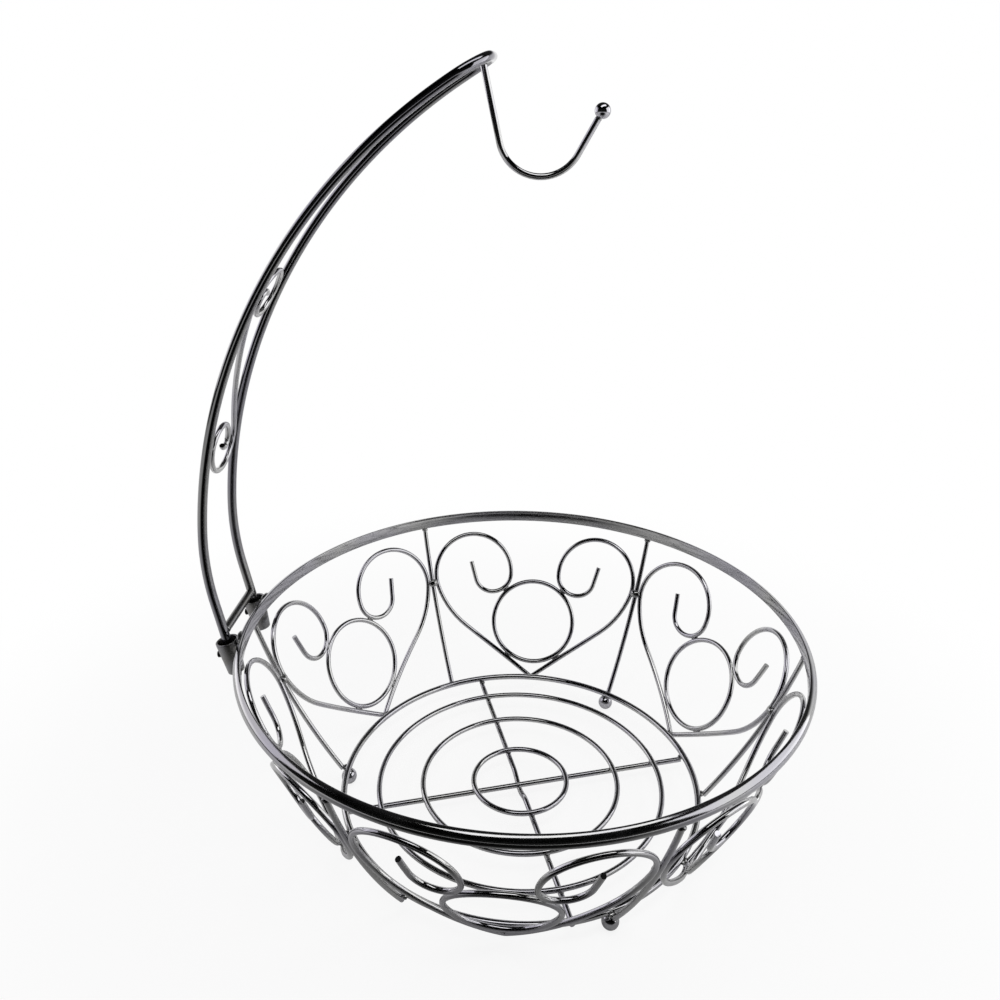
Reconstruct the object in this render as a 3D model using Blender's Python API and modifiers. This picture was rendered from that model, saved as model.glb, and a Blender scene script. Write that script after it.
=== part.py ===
"""A chromed wire fruit bowl with a lift-out banana hanger.

Metres, +Z up. The ball feet stand on z = 0 and the hanger stands at -X, with its hook over the bowl.
The origin is on the ground under the middle of the whole object. Every piece is its own solid, and
pieces that are welded or touch keep one small named gap between them.
"""

import math

import bpy
from mathutils import Vector

# Clearances and shared sizes
GAP = 0.0003
CUT_OVERRUN = 0.002
MERGE = 0.00005
BEND_STEP = math.radians(20)
SHARP_ANGLE = math.radians(40)

# Rim: a band that is flat inside and rounded outside
RIM_OUTER_RADIUS = 0.1524
RIM_THICKNESS = 0.0040
RIM_HEIGHT = 0.0070
RIM_CENTRE_HEIGHT = 0.1033
RIM_SEGMENTS = 64
RIM_PROFILE_STEPS = 6

# Floor: base ring, and three rings given as shares of its radius, all on two crossed wires
BASE_RING_RADIUS = 0.0991
BASE_RING_WIRE = 0.0035
FLOOR_RINGS = ("inner", "middle", "outer")
FLOOR_RING_SHARES = (0.265, 0.554, 0.802)
FLOOR_RING_SEGMENTS = (28, 42, 52)
FLOOR_RING_SIDES = 6
FLOOR_WIRE = 0.0029
CROSS_AZIMUTH = math.radians(18.8)
DIP_HALF_LENGTH = 0.014
DIP_STATIONS = 8
BASE_RING_SEGMENTS = 60
BASE_RING_SIDES = 8

# Wall: wires that lie on one bulged wall between the base ring and the rim
WALL_WIRE = 0.0029
WALL_BULGE = math.radians(7.9)
WALL_TOP_INSET = 0.0027
PANELS = 6
PANEL_STEP = math.tau / PANELS
SPOKE_STATIONS = 9

# Heart scroll of one panel, drawn flat: x across the panel, y up the wall
HEART_POINT_DEPTH = 0.0020
HEART_POINT_BEND = 0.0018
SHOULDER_RADIUS = 0.0600
SHOULDER_TURN = math.radians(31)
SCROLL_RADIUS = 0.0255
SCROLL_DROP = 0.0369
SECOND_BEND_RADIUS = 0.0125
CURL_RADIUS = 0.0115
CURL_TURN = math.radians(71.8)
CURL_END_LENGTH = 0.0121
SIDE_STATIONS = 4
CIRCLE_STATIONS = 26

# Ball feet
FEET = 3
FOOT_DIAMETER = 0.0087
FOOT_FLAT = 0.0003
FOOT_WELD_DEPTH = 0.00015
FOOT_SEGMENTS = 16
FOOT_RINGS = 10

# Sockets that hold the hanger, with a set screw in each
SOCKET_LEAN = math.radians(13)
SOCKET_LENGTH = 0.0187
SOCKET_TOP_DIAMETER = 0.0124
SOCKET_BOTTOM_DIAMETER = 0.0090
SOCKET_WALL = 0.0011
SOCKET_FLOOR = 0.0016
SOCKET_TOP_DROP = 0.0005
SOCKET_SEGMENTS = 28
SCREW_DIAMETER = 0.0036
SCREW_DEPTH_BELOW_TOP = 0.0075
SCREW_PROUD = 0.0009
SCREW_KEY_WIDTH = 0.0018
SCREW_KEY_DEPTH = 0.0012
SCREW_SEGMENTS = 16
SCREW_KEY_SIDES = 6

# Hanger: one rod bent to a long U, its crossbar, scroll and hook
OVERALL_HEIGHT = 0.4064
ROD_DIAMETER = 0.0050
LEG_SPACING = 0.0437
LEG_STRAIGHT = 0.0225
LEG_LOWER_RADIUS = 0.1478
LEG_LOWER_TURN = math.radians(16)
LEG_END_HEADING = math.radians(29.3)
TIP_CORNER_RADIUS = 0.0170
TIP_STEP = math.radians(15)
LEG_STATIONS = 22
CROSSBAR_DIAMETER = 0.0043
CROSSBAR_RISE = 0.0050
CROSSBAR_SEGMENTS = 16

ARM_SCROLL_WIRE = 0.0030
ARM_SCROLL_SHIFT = 0.0020
ARM_SCROLL_INNER_RADIUS = 0.0112
ARM_SCROLL_END_RADIUS = 0.0040
ARM_SCROLL_END_TURN = math.radians(153)
ARM_SCROLL_LOW = 0.1055
ARM_SCROLL_HIGH = 0.1915
ARM_SCROLL_STEP = math.radians(24)
ARM_SCROLL_STATIONS = 4

HOOK_WIRE = 0.0033
HOOK_ANGLE = math.radians(-77.8)
HOOK_DROP = 0.0379
HOOK_RADIUS = 0.0199
HOOK_TURN = math.radians(139.2)
HOOK_REACH = 0.0231
HOOK_STEP = math.radians(12)
HOOK_BALL_DIAMETER = 0.0077
HOOK_BALL_SEGMENTS = 16
HOOK_BALL_RINGS = 10

# Chrome, as linear colour, roughness and metallic share
CHROME_COLOUR_SHARES = (0.55, 0.55, 0.56, 1.0)
CHROME_ROUGHNESS_SHARE = 0.16
SATIN_ROUGHNESS_SHARE = 0.32


# Sizes that follow from the ones above
wall_radius = WALL_WIRE / 2
floor_radius = FLOOR_WIRE / 2
base_radius = BASE_RING_WIRE / 2
rod_radius = ROD_DIAMETER / 2
leg_offset = LEG_SPACING / 2

base_ring_height = FOOT_DIAMETER - FOOT_FLAT - FOOT_WELD_DEPTH + base_radius
cross_height = base_ring_height - base_radius - GAP - floor_radius

wall_foot_offset = base_radius + GAP + wall_radius
wall_top_radius = RIM_OUTER_RADIUS - WALL_TOP_INSET
wall_rise = RIM_CENTRE_HEIGHT - RIM_HEIGHT / 2 - base_ring_height
wall_lean_low = WALL_BULGE + math.atan2(wall_top_radius - BASE_RING_RADIUS - wall_foot_offset, wall_rise)
wall_low_radius = BASE_RING_RADIUS + wall_foot_offset / math.cos(wall_lean_low)
wall_low = -wall_foot_offset * math.tan(wall_lean_low)
wall_lean = math.atan2(wall_top_radius - wall_low_radius, wall_rise)
wall_chord = math.hypot(wall_top_radius - wall_low_radius, wall_rise)
wall_arc_radius = wall_chord / 2 / math.sin(wall_lean_low - wall_lean)
wall_length = 2 * wall_arc_radius * (wall_lean_low - wall_lean)
wall_apex = wall_low_radius / math.sin(wall_lean)
half_panel = PANEL_STEP / 2 * math.sin(wall_lean)
scroll_height = wall_length - SCROLL_DROP

arm_base_height = RIM_CENTRE_HEIGHT - SOCKET_TOP_DROP


def socket_axis_x():
    """Give the x of the sockets' top centres, where the cup's inner side clears the rim's outer side."""
    top_radius = SOCKET_TOP_DIAMETER / 2
    taper = math.atan((SOCKET_TOP_DIAMETER - SOCKET_BOTTOM_DIAMETER) / 2 / SOCKET_LENGTH)
    tilt = SOCKET_LEAN - taper
    support = math.hypot(RIM_THICKNESS * math.cos(tilt), RIM_HEIGHT / 2 * math.sin(tilt))
    rise = top_radius * math.sin(SOCKET_LEAN) - SOCKET_TOP_DROP
    outward = (support + GAP + rise * math.sin(tilt)) / math.cos(tilt) + top_radius * math.cos(SOCKET_LEAN)
    plan = RIM_OUTER_RADIUS - RIM_THICKNESS + outward
    return -math.sqrt(plan ** 2 - leg_offset ** 2)


arm_base_x = socket_axis_x()
leg_start_heading = math.pi / 2 + SOCKET_LEAN
leg_rest_reach = SOCKET_LENGTH - SOCKET_FLOOR - GAP


def centre_shift():
    """Give the x that puts the middle of the whole object's length over the origin."""
    bend_x = arm_base_x + LEG_STRAIGHT * math.cos(leg_start_heading)
    farthest = bend_x - LEG_LOWER_RADIUS * (1 - math.cos(SOCKET_LEAN)) - rod_radius
    return -(RIM_OUTER_RADIUS + farthest) / 2


# Flat drawing helpers: a path is a list of (x, y) and a heading

def straight(path, heading, length, stations=1):
    """Carry the path on straight for a length, in equal stations."""
    x, y = path[-1]
    for station in range(1, stations + 1):
        reach = length * station / stations
        path.append((x + reach * math.cos(heading), y + reach * math.sin(heading)))


def bend(path, heading, radius, turn, step=BEND_STEP):
    """Carry the path on round an arc, to the left for a positive turn, and give the new heading."""
    x, y = path[-1]
    side = math.copysign(1, turn)
    centre_x = x - side * radius * math.sin(heading)
    centre_y = y + side * radius * math.cos(heading)
    stations = max(2, math.ceil(abs(turn) / step))
    for station in range(1, stations + 1):
        angle = heading + turn * station / stations
        path.append((centre_x + side * radius * math.sin(angle), centre_y - side * radius * math.cos(angle)))
    return heading + turn


def wall_point(across, up, azimuth):
    """Lay a point of the flat panel drawing on the bulged wall of the bowl."""
    reach = math.hypot(across, wall_apex + up)
    turn = azimuth + math.atan2(across, wall_apex + up) / math.sin(wall_lean)
    along = reach - wall_apex
    lean = wall_lean_low - along / wall_arc_radius
    radius = wall_low_radius + wall_arc_radius * (math.cos(lean) - math.cos(wall_lean_low))
    height = base_ring_height + wall_arc_radius * (math.sin(wall_lean_low) - math.sin(lean))
    return Vector((radius * math.cos(turn), radius * math.sin(turn), height))


def arm_side():
    """Give the legs' heading where the upper bend starts, and its radius, set by the overall height."""
    path = [(0, 0)]
    straight(path, leg_start_heading, LEG_STRAIGHT)
    upper_heading = bend(path, leg_start_heading, LEG_LOWER_RADIUS, -LEG_LOWER_TURN)
    tip_height = OVERALL_HEIGHT - rod_radius - arm_base_height
    upper_radius = (tip_height - path[-1][1]) / (math.cos(LEG_END_HEADING) - math.cos(upper_heading))
    return upper_heading, upper_radius


arm_upper_heading, arm_upper_radius = arm_side()
arm_upper_start = LEG_STRAIGHT + LEG_LOWER_RADIUS * LEG_LOWER_TURN
arm_length = arm_upper_start + arm_upper_radius * (arm_upper_heading - LEG_END_HEADING)


def arm_point(along, across):
    """Lay a point of the hanger's flat drawing on its bent surface, measured from the sockets' top."""
    x = min(along, LEG_STRAIGHT) * math.cos(leg_start_heading)
    z = min(along, LEG_STRAIGHT) * math.sin(leg_start_heading)
    heading = leg_start_heading
    lower = (LEG_STRAIGHT, arm_upper_start, LEG_LOWER_RADIUS)
    upper = (arm_upper_start, math.inf, arm_upper_radius)
    for start, end, radius in (lower, upper):
        reach = min(along, end) - start
        if reach > 0:
            turned = heading - reach / radius
            x += radius * (math.sin(heading) - math.sin(turned))
            z += radius * (math.cos(turned) - math.cos(heading))
            heading = turned
    return Vector((x, across, z))


# Blender helpers

def clear_scene():
    """Remove what the opened file holds."""
    for item in list(bpy.data.objects):
        bpy.data.objects.remove(item, do_unlink=True)


def new_collection(name):
    """Make a collection in the scene."""
    collection = bpy.data.collections.new(name)
    bpy.context.scene.collection.children.link(collection)
    return collection


def chrome(name, roughness):
    """Make the chrome material of one sub-part."""
    material = bpy.data.materials.new(name + "_chrome")
    material.use_nodes = True
    shader = material.node_tree.nodes["Principled BSDF"]
    shader.inputs["Base Color"].default_value = CHROME_COLOUR_SHARES
    shader.inputs["Metallic"].default_value = 1.0
    shader.inputs["Roughness"].default_value = roughness
    return material


def finish(item, name, parent, roughness=CHROME_ROUGHNESS_SHARE):
    """Name a sub-part, hang it under its parent, give it its material and put it with the parts."""
    item.name = name
    item.data.name = name
    item.parent = parent
    item.data.materials.append(chrome(name, roughness))
    for collection in list(item.users_collection):
        collection.objects.unlink(item)
    parts.objects.link(item)
    return item


def shade(item):
    """Shade a mesh smooth, with its real edges kept sharp."""
    item.data.shade_smooth()
    item.data.set_sharp_from_angle(angle=SHARP_ANGLE)


def keep_as_cutter(item, name, parent):
    """Put an object with the cutters, out of sight."""
    item.name = name
    item.parent = parent
    item.hide_render = True
    item.display_type = "WIRE"
    for collection in list(item.users_collection):
        collection.objects.unlink(item)
    cutters.objects.link(item)
    return item


def cut(item, cutter):
    """Cut a piece by a cutter."""
    boolean = item.modifiers.new(cutter.name, "BOOLEAN")
    boolean.operation = "DIFFERENCE"
    boolean.solver = "EXACT"
    boolean.object = cutter
    return boolean


def wire(name, points, diameter, parent, cyclic=False, fineness=1):
    """Make a wire: a curve through the points with a round section and filled caps."""
    curve = bpy.data.curves.new(name, "CURVE")
    curve.dimensions = "3D"
    curve.bevel_depth = diameter / 2
    curve.bevel_resolution = fineness
    curve.use_fill_caps = True
    spline = curve.splines.new("POLY")
    spline.points.add(len(points) - 1)
    for station, point in zip(spline.points, points):
        station.co = (*point, 1.0)
    spline.use_cyclic_u = cyclic
    item = bpy.data.objects.new(name, curve)
    parts.objects.link(item)
    return finish(item, name, parent)


def torus(name, radius, thickness, height, segments, sides):
    """Make a ring of round wire about the bowl's axis."""
    bpy.ops.mesh.primitive_torus_add(
        major_radius=radius, minor_radius=thickness / 2, major_segments=segments, minor_segments=sides)
    item = bpy.context.object
    item.location = (0, 0, height)
    item.name = name
    return item


def turned(name, profile, segments, closed):
    """Turn a profile in the XZ plane about Z."""
    mesh = bpy.data.meshes.new(name)
    edges = [(index, index + 1) for index in range(len(profile) - 1)]
    if closed:
        edges.append((len(profile) - 1, 0))
    mesh.from_pydata([(x, 0, z) for x, z in profile], edges, [])
    item = bpy.data.objects.new(name, mesh)
    screw = item.modifiers.new("turn", "SCREW")
    screw.steps = segments
    screw.render_steps = segments
    screw.use_merge_vertices = True
    screw.merge_threshold = MERGE
    screw.use_smooth_shade = True
    weld = item.modifiers.new("poles", "WELD")
    weld.merge_threshold = MERGE
    parts.objects.link(item)
    return item


def rod_between(name, start, end, diameter, segments):
    """Make a straight round bar from one point to another."""
    bpy.ops.mesh.primitive_cylinder_add(radius=diameter / 2, depth=(end - start).length, vertices=segments)
    item = bpy.context.object
    item.name = name
    item.location = (start + end) / 2
    item.rotation_euler = (end - start).to_track_quat("Z", "Y").to_euler()
    return item


def ball(name, centre, diameter, segments, rings):
    """Make a ball."""
    bpy.ops.mesh.primitive_uv_sphere_add(radius=diameter / 2, segments=segments, ring_count=rings)
    item = bpy.context.object
    item.name = name
    item.location = centre
    return item


# Bowl

def rim_profile():
    """Give the rim's closed section: a half ellipse run down the outer side, and the flat inner side."""
    flat = RIM_OUTER_RADIUS - RIM_THICKNESS
    profile = []
    for step in range(RIM_PROFILE_STEPS + 1):
        angle = math.pi / 2 - math.pi * step / RIM_PROFILE_STEPS
        profile.append((flat + RIM_THICKNESS * math.cos(angle), RIM_HEIGHT / 2 * math.sin(angle)))
    return profile


def make_rim():
    """Make the band round the bowl's top."""
    rim = turned("rim_ring", rim_profile(), RIM_SEGMENTS, closed=True)
    rim.location = (0, 0, RIM_CENTRE_HEIGHT)
    finish(rim, "rim_ring", bowl)


def make_base_ring():
    """Make the thick ring that the floor, the wall and the feet are welded to."""
    ring = torus(
        "base_ring", BASE_RING_RADIUS, BASE_RING_WIRE, base_ring_height, BASE_RING_SEGMENTS, BASE_RING_SIDES)
    shade(ring)
    finish(ring, "base_ring", bowl)


def make_floor_rings():
    """Make the three rings that lie on the crossed wires."""
    height = cross_height + FLOOR_WIRE + GAP
    for place, share, segments in zip(FLOOR_RINGS, FLOOR_RING_SHARES, FLOOR_RING_SEGMENTS):
        name = "floor_ring_" + place
        ring = torus(name, share * BASE_RING_RADIUS, FLOOR_WIRE, height, segments, FLOOR_RING_SIDES)
        shade(ring)
        finish(ring, name, bowl)


def make_floor_cross():
    """Make the two crossed wires, whose ends lie under the base ring: the first dips under the second."""
    end = BASE_RING_RADIUS
    dip = FLOOR_WIRE + GAP
    path = [(-end, 0)]
    for step in range(DIP_STATIONS + 1):
        place = 2 * step / DIP_STATIONS - 1
        path.append((place * DIP_HALF_LENGTH, -dip * math.cos(place * math.pi / 2) ** 2))
    path.append((end, 0))
    plain = [path[0], path[-1]]
    for letter, azimuth, route in (("a", CROSS_AZIMUTH + math.pi / 2, path), ("b", CROSS_AZIMUTH, plain)):
        points = []
        for along, rise in route:
            x = along * math.cos(azimuth)
            points.append(Vector((x, along * math.sin(azimuth), cross_height + rise)))
        wire("floor_cross_wire_" + letter, points, FLOOR_WIRE, bowl)


def make_spokes():
    """Make the six bent wires that run up the wall from the base ring to the rim."""
    top_lean = 2 * wall_lean - wall_lean_low
    top = wall_length - (GAP + wall_radius * math.sin(top_lean)) / math.cos(top_lean)
    for index in range(PANELS):
        azimuth = math.pi - index * PANEL_STEP
        points = []
        for station in range(SPOKE_STATIONS):
            along = wall_low + (top - wall_low) * station / (SPOKE_STATIONS - 1)
            points.append(wall_point(0, along, azimuth))
        wire(f"spoke_{index + 1}", points, WALL_WIRE, bowl)


def scroll_centre_across():
    """Give how far each scroll lies from the panel's middle, where it touches the spoke beside it."""
    clear = SCROLL_RADIUS + WALL_WIRE + GAP
    return ((scroll_height + wall_apex) * math.sin(half_panel) - clear) / math.cos(half_panel)


def heart_side(across):
    """Give the angle and length of the heart's side, which the wide shoulder bend leads into the scroll."""
    rise = scroll_height + HEART_POINT_DEPTH
    reach = math.hypot(across, rise)
    widening = SHOULDER_RADIUS - SCROLL_RADIUS
    offset = SHOULDER_RADIUS - widening * math.cos(SHOULDER_TURN)
    angle = math.atan2(rise, across) - math.asin(offset / reach)
    return angle, math.sqrt(reach ** 2 - offset ** 2) - widening * math.sin(SHOULDER_TURN)


def circle_place():
    """Give the centre height and radius of the circle, which touches the heart's sides and second bends."""
    across = scroll_centre_across()
    side = heart_side(across)[0]
    rise = scroll_height + HEART_POINT_DEPTH
    second = across - SCROLL_RADIUS + SECOND_BEND_RADIUS
    slope = math.tan(side) ** 2
    half = rise / math.cos(side) + SECOND_BEND_RADIUS
    rest = second ** 2 + rise ** 2 - SECOND_BEND_RADIUS ** 2
    reach = (half - math.sqrt(half ** 2 - slope * rest)) / slope
    return reach / math.cos(side) - HEART_POINT_DEPTH, reach - WALL_WIRE - GAP


def heart_drawing():
    """Draw the heart flat: two scrolls joined by a point, symmetric about the panel's middle."""
    across = scroll_centre_across()
    side, length = heart_side(across)
    bottom = HEART_POINT_BEND / math.cos(side) - HEART_POINT_BEND - HEART_POINT_DEPTH
    half = [(0, bottom)]
    heading = bend(half, 0, HEART_POINT_BEND, side)
    straight(half, heading, length - HEART_POINT_BEND * math.tan(side), SIDE_STATIONS)
    heading = bend(half, heading, SHOULDER_RADIUS, SHOULDER_TURN)
    heading = bend(half, heading, SCROLL_RADIUS, 3 * math.pi / 2 - heading)
    heading = bend(half, heading, SECOND_BEND_RADIUS, math.pi / 2)
    heading = bend(half, heading, CURL_RADIUS, CURL_TURN)
    straight(half, heading, CURL_END_LENGTH, 2)
    return [(-x, y) for x, y in reversed(half)] + half[1:]


def make_panels():
    """Make the heart and the circle of each panel."""
    drawing = heart_drawing()
    centre, radius = circle_place()
    for index in range(PANELS):
        azimuth = math.pi - (index + 1 / 2) * PANEL_STEP
        heart = [wall_point(x, y, azimuth) for x, y in drawing]
        wire(f"heart_wire_{index + 1}", heart, WALL_WIRE, bowl)
        circle = []
        for station in range(CIRCLE_STATIONS):
            angle = math.tau * station / CIRCLE_STATIONS
            circle.append(wall_point(radius * math.cos(angle), centre + radius * math.sin(angle), azimuth))
        wire(f"circle_wire_{index + 1}", circle, WALL_WIRE, bowl, cyclic=True)


def make_feet():
    """Make the three ball feet, flat on the ground and hollowed on top for the base ring."""
    clear = BASE_RING_WIRE + 2 * GAP
    saddle = torus(
        "saddle_cutter", BASE_RING_RADIUS, clear, base_ring_height, BASE_RING_SEGMENTS, BASE_RING_SIDES)
    keep_as_cutter(saddle, "saddle_cutter", bowl)
    for index in range(FEET):
        azimuth = math.pi - index * math.tau / FEET
        x = BASE_RING_RADIUS * math.cos(azimuth)
        y = BASE_RING_RADIUS * math.sin(azimuth)
        place = Vector((x, y, FOOT_DIAMETER / 2 - FOOT_FLAT))
        foot = ball(f"ball_foot_{index + 1}", place, FOOT_DIAMETER, FOOT_SEGMENTS, FOOT_RINGS)
        bpy.ops.mesh.primitive_cube_add(size=FOOT_DIAMETER + CUT_OVERRUN)
        ground = bpy.context.object
        ground.location = (place.x, place.y, -(FOOT_DIAMETER + CUT_OVERRUN) / 2)
        keep_as_cutter(ground, f"ground_cutter_{index + 1}", bowl)
        cut(foot, ground)
        cut(foot, saddle)
        shade(foot)
        finish(foot, foot.name, bowl)


# Sockets

def socket_profile():
    """Give the cup's section from the middle of its floor, up the bore, over the lip and down outside."""
    top = SOCKET_TOP_DIAMETER / 2
    bottom = SOCKET_BOTTOM_DIAMETER / 2
    slope = (top - bottom) / SOCKET_LENGTH
    lip = SOCKET_WALL / 3
    return [
        (0, SOCKET_FLOOR - SOCKET_LENGTH),
        (bottom + slope * SOCKET_FLOOR - SOCKET_WALL, SOCKET_FLOOR - SOCKET_LENGTH),
        (top - SOCKET_WALL, -lip),
        (top - SOCKET_WALL + lip, 0),
        (top - lip, 0),
        (top, -lip),
        (bottom, lip - SOCKET_LENGTH),
        (bottom - lip, -SOCKET_LENGTH),
        (0, -SOCKET_LENGTH),
    ]


def make_sockets():
    """Make the two leaning cups outside the rim and the set screw that clamps each leg."""
    axis = Vector((-math.sin(SOCKET_LEAN), 0, math.cos(SOCKET_LEAN)))
    outward = Vector((-math.cos(SOCKET_LEAN), 0, -math.sin(SOCKET_LEAN)))
    slope = (SOCKET_TOP_DIAMETER - SOCKET_BOTTOM_DIAMETER) / 2 / SOCKET_LENGTH
    cup_radius = SOCKET_TOP_DIAMETER / 2 - slope * SCREW_DEPTH_BELOW_TOP
    for place, side in (("front", -1), ("back", 1)):
        top = Vector((arm_base_x, side * leg_offset, arm_base_height))
        socket = turned("arm_socket_" + place, socket_profile(), SOCKET_SEGMENTS, closed=False)
        socket.location = top
        socket.rotation_euler = (0, -SOCKET_LEAN, 0)
        middle = top - axis * SCREW_DEPTH_BELOW_TOP
        tip = middle + outward * (rod_radius + GAP)
        head = middle + outward * (cup_radius + SCREW_PROUD)
        screw = rod_between("lock_screw_" + place, tip, head, SCREW_DIAMETER, SCREW_SEGMENTS)
        past = head + outward * CUT_OVERRUN
        clear = SCREW_DIAMETER + 2 * GAP
        hole = rod_between("screw_hole_cutter_" + place, middle, past, clear, SCREW_SEGMENTS)
        keep_as_cutter(hole, hole.name, bowl)
        cut(socket, hole)
        finish(socket, socket.name, bowl, SATIN_ROUGHNESS_SHARE)
        start = head - outward * SCREW_KEY_DEPTH
        key = rod_between("hex_key_cutter_" + place, start, past, SCREW_KEY_WIDTH, SCREW_KEY_SIDES)
        keep_as_cutter(key, key.name, bowl)
        cut(screw, key)
        shade(screw)
        finish(screw, screw.name, bowl)


# Hanger

def make_rod():
    """Make the rod: up one leg, round the tip and down the other."""
    heading = 0
    leg = [(-leg_rest_reach, -leg_offset)]
    straight(leg, heading, leg_rest_reach + LEG_STRAIGHT, 2)
    straight(leg, heading, arm_length - TIP_CORNER_RADIUS - LEG_STRAIGHT, LEG_STATIONS)
    bend(leg, heading, TIP_CORNER_RADIUS, math.pi / 2, TIP_STEP)
    flat = leg + [(along, -across) for along, across in reversed(leg)]
    wire("hanger_rod", [arm_point(*place) for place in flat], ROD_DIAMETER, hanger, fineness=2)


def make_crossbar():
    """Make the bar between the legs, just above the sockets."""
    reach = leg_offset - rod_radius - GAP
    start = arm_point(CROSSBAR_RISE, -reach)
    end = arm_point(CROSSBAR_RISE, reach)
    bar = rod_between("hanger_crossbar", start, end, CROSSBAR_DIAMETER, CROSSBAR_SEGMENTS)
    shade(bar)
    finish(bar, bar.name, hanger, SATIN_ROUGHNESS_SHARE)


def make_arm_scroll():
    """Make the S-shaped scroll between the legs: half of it, and the same turned half round."""
    middle = (ARM_SCROLL_LOW + ARM_SCROLL_HIGH) / 2
    radius = leg_offset - rod_radius - GAP - ARM_SCROLL_WIRE / 2 - ARM_SCROLL_SHIFT
    drop = middle - ARM_SCROLL_LOW
    reach = math.hypot(ARM_SCROLL_SHIFT, drop)
    heading = -math.atan2(drop, ARM_SCROLL_SHIFT) + math.asin(radius / reach)
    half = [(0, 0)]
    straight(half, heading, math.sqrt(reach ** 2 - radius ** 2), ARM_SCROLL_STATIONS)
    heading = bend(half, heading, radius, -(heading + 3 * math.pi / 2), ARM_SCROLL_STEP)
    heading = bend(half, heading, ARM_SCROLL_INNER_RADIUS, -math.pi, ARM_SCROLL_STEP)
    bend(half, heading, ARM_SCROLL_END_RADIUS, -ARM_SCROLL_END_TURN, ARM_SCROLL_STEP)
    whole = [(-x, -y) for x, y in reversed(half)] + half[1:]
    points = [arm_point(middle + y, x) for x, y in whole]
    wire("hanger_scroll", points, ARM_SCROLL_WIRE, hanger)


def make_hook():
    """Make the hook wire on the inner side of the tip and the ball on its end."""
    tip = arm_point(arm_length, 0)
    clear = rod_radius + GAP + HOOK_WIRE / 2
    path = [(tip.x - clear * math.cos(LEG_END_HEADING), tip.z - clear * math.sin(LEG_END_HEADING))]
    straight(path, HOOK_ANGLE, HOOK_DROP, 2)
    heading = bend(path, HOOK_ANGLE, HOOK_RADIUS, HOOK_TURN, HOOK_STEP)
    ball_reach = HOOK_REACH - HOOK_BALL_DIAMETER / 2 - GAP
    straight(path, heading, ball_reach)
    wire("hook_wire", [Vector((x, 0, z)) for x, z in path], HOOK_WIRE, hanger, fineness=2)
    x, z = path[-1]
    out = HOOK_REACH - ball_reach
    centre = Vector((x + out * math.cos(heading), 0, z + out * math.sin(heading)))
    knob = ball("hook_ball", centre, HOOK_BALL_DIAMETER, HOOK_BALL_SEGMENTS, HOOK_BALL_RINGS)
    shade(knob)
    finish(knob, "hook_ball", hanger)


clear_scene()
parts = new_collection("fruit_bowl_with_banana_hanger")
cutters = new_collection("cutters")

bowl = bpy.data.objects.new("bowl_centre", None)
bowl.location = (centre_shift(), 0, 0)
parts.objects.link(bowl)
hanger = bpy.data.objects.new("hanger_lift_axis", None)
hanger.location = (arm_base_x, 0, arm_base_height)
hanger.parent = bowl
parts.objects.link(hanger)

make_rim()
make_base_ring()
make_floor_rings()
make_floor_cross()
make_spokes()
make_panels()
make_feet()
make_sockets()
make_rod()
make_crossbar()
make_arm_scroll()
make_hook()
bpy.context.view_layer.update()
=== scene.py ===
"""The looks of a chromed wire fruit bowl with a lift-out banana hanger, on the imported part."""

import math

import bpy
from mathutils import Matrix, Vector


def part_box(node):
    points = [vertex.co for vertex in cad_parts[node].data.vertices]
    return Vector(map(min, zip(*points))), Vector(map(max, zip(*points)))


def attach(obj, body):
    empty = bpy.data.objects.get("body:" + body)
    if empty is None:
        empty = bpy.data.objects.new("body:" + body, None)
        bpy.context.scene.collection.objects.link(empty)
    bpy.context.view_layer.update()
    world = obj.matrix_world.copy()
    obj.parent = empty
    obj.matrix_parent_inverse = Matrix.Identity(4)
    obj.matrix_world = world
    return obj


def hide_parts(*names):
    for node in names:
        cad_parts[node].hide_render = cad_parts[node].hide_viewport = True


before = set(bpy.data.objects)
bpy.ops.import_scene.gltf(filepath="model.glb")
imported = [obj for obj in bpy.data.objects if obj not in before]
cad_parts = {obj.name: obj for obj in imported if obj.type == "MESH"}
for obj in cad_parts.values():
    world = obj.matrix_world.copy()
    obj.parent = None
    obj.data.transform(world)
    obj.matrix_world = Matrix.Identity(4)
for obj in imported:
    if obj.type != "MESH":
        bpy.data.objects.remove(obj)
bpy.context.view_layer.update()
bpy.ops.object.select_all(action="DESELECT")

# Sizes of the part, in metres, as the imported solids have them
GAP = 0.0003
RIM_OUTER_RADIUS = 0.1524
RIM_THICKNESS = 0.0040
RIM_HEIGHT = 0.0070
RIM_CENTRE_HEIGHT = 0.1033
BASE_RING_RADIUS = 0.0991
BASE_RING_WIRE = 0.0035
FLOOR_RINGS = {"inner": 0.265, "middle": 0.554, "outer": 0.802}
FLOOR_WIRE = 0.0029
CROSS_AZIMUTH = math.radians(18.8)
DIP_HALF_LENGTH = 0.014
WALL_WIRE = 0.0029
WALL_BULGE = math.radians(7.9)
WALL_TOP_INSET = 0.0027
PANELS = 6
PANEL_STEP = math.tau / PANELS
HEART_POINT_DEPTH = 0.0020
HEART_POINT_BEND = 0.0018
SHOULDER_RADIUS = 0.0600
SHOULDER_TURN = math.radians(31)
SCROLL_RADIUS = 0.0255
SCROLL_DROP = 0.0369
SECOND_BEND_RADIUS = 0.0125
CURL_RADIUS = 0.0115
CURL_TURN = math.radians(71.8)
CURL_END_LENGTH = 0.0121
FEET = 3
FOOT_DIAMETER = 0.0087
FOOT_FLAT = 0.0003
FOOT_WELD_DEPTH = 0.00015
SOCKET_LEAN = math.radians(13)
SOCKET_LENGTH = 0.0187
SOCKET_TOP_DIAMETER = 0.0124
SOCKET_BOTTOM_DIAMETER = 0.0090
SOCKET_WALL = 0.0011
SOCKET_FLOOR = 0.0016
SOCKET_TOP_DROP = 0.0005
SCREW_DIAMETER = 0.0036
SCREW_DEPTH_BELOW_TOP = 0.0075
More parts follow.
